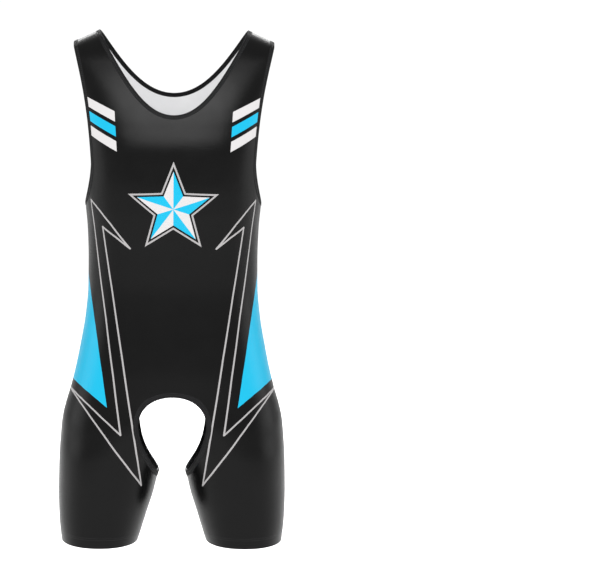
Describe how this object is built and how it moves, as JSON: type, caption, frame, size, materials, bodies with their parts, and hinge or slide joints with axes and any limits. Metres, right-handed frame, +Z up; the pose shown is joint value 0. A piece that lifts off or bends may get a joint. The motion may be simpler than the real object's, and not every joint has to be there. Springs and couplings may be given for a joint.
{
  "type": "athletic bodysuit",
  "caption": "Sleeveless athletic bodysuit with a scooped neck, bound armholes, thigh-length legs and an open bound seat, filled out as worn.",
  "frame": {"origin": "midway between the two shoulder straps, where they rest on the wearer's shoulders", "axes": "+Z up, the front of the garment faces -Y, the garment's left side is at +X"},
  "size_m": [0.388, 0.2323, 0.877],
  "materials": {
    "knit": "black polyester and spandex knit with a soft sheen, printed on the outside, white inside",
    "binding": "black folded knit binding, coverstitched"
  },
  "bodies": {
    "root": {"front_panel": "knit", "back_panel": "knit", "neck_binding_front": "binding", "neck_binding_back": "binding", "left_armhole_binding_front": "binding", "left_armhole_binding_back": "binding", "right_armhole_binding_front": "binding", "right_armhole_binding_back": "binding", "opening_binding_front": "binding", "opening_binding_back": "binding"}
  },
  "joints": []
}
